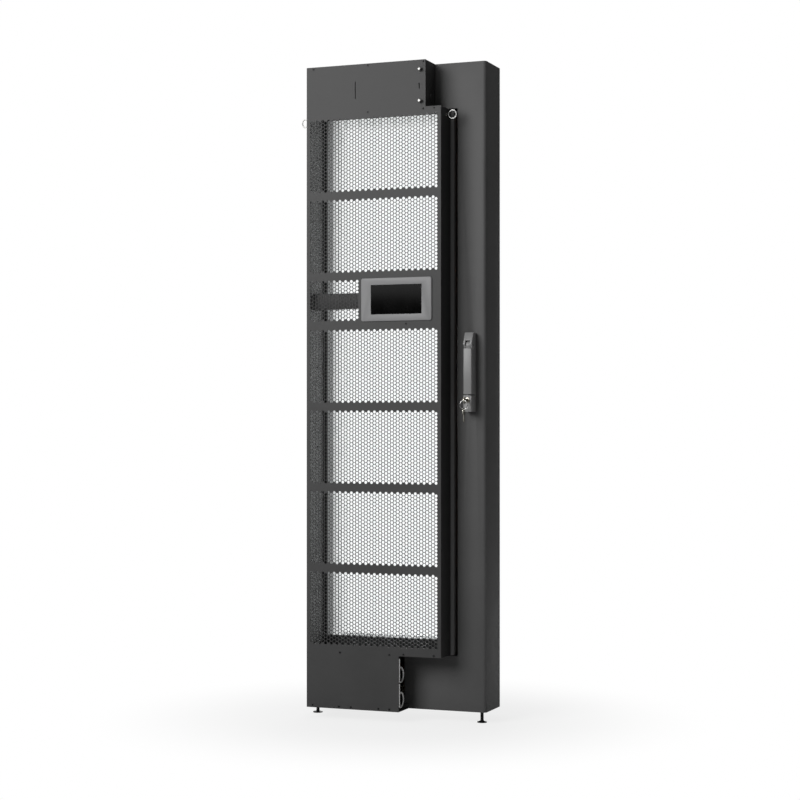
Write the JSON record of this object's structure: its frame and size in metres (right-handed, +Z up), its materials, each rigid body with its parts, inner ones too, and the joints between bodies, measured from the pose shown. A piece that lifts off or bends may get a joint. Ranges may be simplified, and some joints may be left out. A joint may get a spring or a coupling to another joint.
{
  "type": "rear door heat exchanger",
  "caption": "Tall grey door for the back of a computer cabinet, with a perforated front housing, a water cooled coil, a display, a swing handle and a hinged frame.",
  "frame": {"origin": "middle of the underside of the whole object, on the floor under the levelling feet", "axes": "+Z up, +X to the right as seen from the front, +Y from the perforated front to the cabinet"},
  "size_m": [0.604, 0.281, 2.035],
  "materials": {
    "leaf_paint": "fine textured dark grey powder coat on sheet steel",
    "housing_paint": "fine textured dark grey powder coat on sheet steel",
    "inner_paint": "fine textured black powder coat on sheet steel",
    "frame_paint": "satin black powder coat on folded steel",
    "fin_aluminium": "plain thin aluminium fins",
    "galvanised_sheet": "galvanised sheet steel",
    "copper_tube": "drawn copper tube",
    "valve_brass": "nickel plated brass",
    "lever_coating": "blue dipped plastic coating on a steel lever",
    "bright_wire": "bright nickel plated steel",
    "screw_black": "black oxide screws",
    "zinc_steel": "zinc plated steel",
    "pin_steel": "ground steel",
    "handle_coating": "satin grey coating on cast zinc",
    "key_nickel": "nickel plated brass",
    "seal_foam": "closed cell black foam strip",
    "grommet_rubber": "black rubber",
    "bezel_plastic": "matt mid grey moulded plastic",
    "display_glass": "black glass, switched off",
    "module_plastic": "matt black housing",
    "actuator_plastic": "light grey housing",
    "foot_steel": "zinc plated steel"
  },
  "bodies": {
    "cabinet_frame": {"frame_post_left": "frame_paint", "frame_post_right": "frame_paint", "frame_rail_top": "frame_paint", "frame_rail_bottom": "frame_paint", "hinge_frame_halves": "zinc_steel", "hinge_pins": "pin_steel"},
    "upper_keeper": {"upper_keeper": "zinc_steel"},
    "lower_keeper": {"lower_keeper": "zinc_steel"},
    "door": {"leaf_shell": "leaf_paint", "rear_cover": "leaf_paint", "door_seal": "seal_foam", "front_panel": "housing_paint", "header_box": "inner_paint", "duct_walls": "inner_paint", "lower_box": "housing_paint", "hose_rings": "bright_wire", "cable_grommet": "grommet_rubber", "display_bezel": "bezel_plastic", "display_glass": "display_glass", "display_module": "module_plastic", "display_tray": "galvanised_sheet", "coil_fins": "fin_aluminium", "coil_casing": "galvanised_sheet", "coil_bends": "copper_tube", "supply_manifold": "copper_tube", "return_manifold": "copper_tube", "air_vents": "valve_brass", "drip_tray": "galvanised_sheet", "supply_pipe": "copper_tube", "return_pipe": "copper_tube", "control_valve": "valve_brass", "valve_actuator": "actuator_plastic", "ball_valves": "valve_brass", "hose_nipples": "valve_brass", "temperature_probes": "zinc_steel", "controller": "module_plastic", "power_supply": "module_plastic", "thumb_screws": "bright_wire", "panel_screws": "screw_black", "eye_screws": "bright_wire", "handle_base": "handle_coating", "gearbox_housing": "zinc_steel", "rod_guides": "zinc_steel", "hinge_door_halves": "zinc_steel", "foot_bushes": "zinc_steel"},
    "handle": {"handle_hub": "handle_coating", "lever_pin": "pin_steel", "spindle": "zinc_steel", "rod_pinion": "zinc_steel"},
    "lever": {"handle_lever": "handle_coating"},
    "upper_rod": {"upper_rod": "zinc_steel"},
    "lower_rod": {"lower_rod": "zinc_steel"},
    "key": {"lock_cylinder": "key_nickel", "key": "key_nickel"},
    "key_ring": {"key_ring": "bright_wire"},
    "spare_key": {"spare_key": "key_nickel"},
    "supply_lever": {"supply_valve_lever": "lever_coating"},
    "return_lever": {"return_valve_lever": "lever_coating"},
    "left_foot": {"left_foot": "foot_steel"},
    "right_foot": {"right_foot": "foot_steel"}
  },
  "joints": [
    {"name": "door_swing", "type": "hinge", "parent": "cabinet_frame", "child": "door", "pos_m": [-0.294, 0.1075, 1.035], "axis": [0, 0, -1], "range_deg": [0, 110]},
    {"name": "upper_keeper_slide", "type": "slide", "parent": "cabinet_frame", "child": "upper_keeper", "axis": [0, 0, -1], "range_m": [0, 0.012]},
    {"name": "lower_keeper_slide", "type": "slide", "parent": "cabinet_frame", "child": "lower_keeper", "axis": [0, 0, 1], "range_m": [0, 0.012]},
    {"name": "handle_turn", "type": "hinge", "parent": "door", "child": "handle", "pos_m": [0.2555, -0.0485, 1.181], "axis": [0, -1, 0], "range_deg": [0, 90]},
    {"name": "handle_tilt", "type": "hinge", "parent": "handle", "child": "lever", "pos_m": [0.2555, -0.0625, 1.162], "axis": [-1, 0, 0], "range_deg": [0, 30]},
    {"name": "upper_rod_slide", "type": "slide", "parent": "door", "child": "upper_rod", "axis": [0, 0, -1], "range_m": [0, 0.01767]},
    {"name": "lower_rod_slide", "type": "slide", "parent": "door", "child": "lower_rod", "axis": [0, 0, 1], "range_m": [0, 0.01767]},
    {"name": "key_turn", "type": "hinge", "parent": "door", "child": "key", "pos_m": [0.2555, -0.0685, 0.993], "axis": [0, -1, 0], "range_deg": [0, 90]},
    {"name": "ring_swing", "type": "hinge", "parent": "key", "child": "key_ring", "pos_m": [0.2555, -0.1129, 0.993], "axis": [1, 0, 0], "range_deg": [-30, 30]},
    {"name": "spare_key_swing", "type": "hinge", "parent": "key_ring", "child": "spare_key", "pos_m": [0.2555, -0.1129, 0.9646], "axis": [1, 0, 0], "range_deg": [-30, 30]},
    {"name": "supply_lever_turn", "type": "hinge", "parent": "door", "child": "supply_lever", "pos_m": [-0.048, -0.0625, 0.187], "axis": [0, 0, -1], "range_deg": [0, 90]},
    {"name": "return_lever_turn", "type": "hinge", "parent": "door", "child": "return_lever", "pos_m": [-0.018, -0.0625, 0.125], "axis": [0, 0, -1], "range_deg": [0, 90]},
    {"name": "left_foot_slide", "type": "slide", "parent": "door", "child": "left_foot", "axis": [0, 0, 1], "range_m": [0, 0.018]},
    {"name": "right_foot_slide", "type": "slide", "parent": "door", "child": "right_foot", "axis": [0, 0, 1], "range_m": [0, 0.018]}
  ],
  "couplings": [
    {"joint": "upper_rod_slide", "follows": "handle_turn", "m_per_rad": 0.01125},
    {"joint": "lower_rod_slide", "follows": "handle_turn", "m_per_rad": 0.01125}
  ]
}
